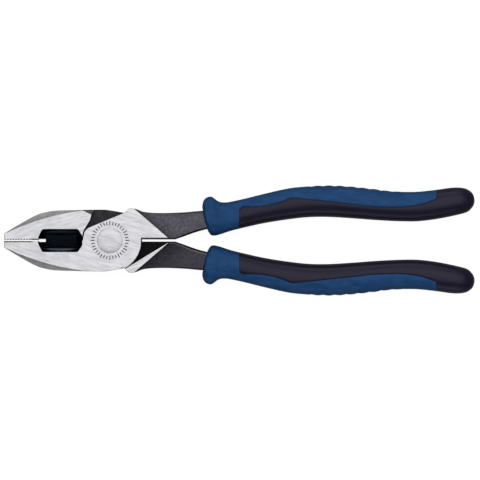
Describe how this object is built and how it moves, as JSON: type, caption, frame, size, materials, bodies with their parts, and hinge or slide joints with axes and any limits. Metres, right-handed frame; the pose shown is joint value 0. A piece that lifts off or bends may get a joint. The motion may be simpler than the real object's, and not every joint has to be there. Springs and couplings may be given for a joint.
{
  "type": "lineman pliers",
  "caption": "Lineman's side-cutting pliers with a riveted lap joint, toothed blunt nose, cutter recess and overmoulded grips, lying flat and closed.",
  "frame": {"origin": "On the pivot axis, in the plane of the head's ground back face", "axes": "+X from the pivot towards the handle ends, +Y across the tool towards the handle of the front half, +Z along the pivot axis out of the front face, where the cutter recess opens"},
  "size_m": [0.2443, 0.0574, 0.016],
  "materials": {
    "ground_steel": "forged steel, ground satin on the flat faces and dark oxide elsewhere",
    "rivet_steel": "ground flush, satin",
    "grip_black": "moulded, fine satin",
    "grip_blue": "moulded, fine satin"
  },
  "bodies": {
    "rear": {"rear_half": "ground_steel", "pivot_rivet": "rivet_steel", "lower_grip_core": "grip_black", "lower_grip_cover": "grip_blue"},
    "front": {"front_half": "ground_steel", "upper_grip_core": "grip_black", "upper_grip_cover": "grip_blue"}
  },
  "joints": [
    {"name": "pivot", "type": "hinge", "parent": "rear", "child": "front", "pos_m": [0, 0, 0.008], "axis": [0, 0, 1], "range_deg": [0, 42]}
  ]
}
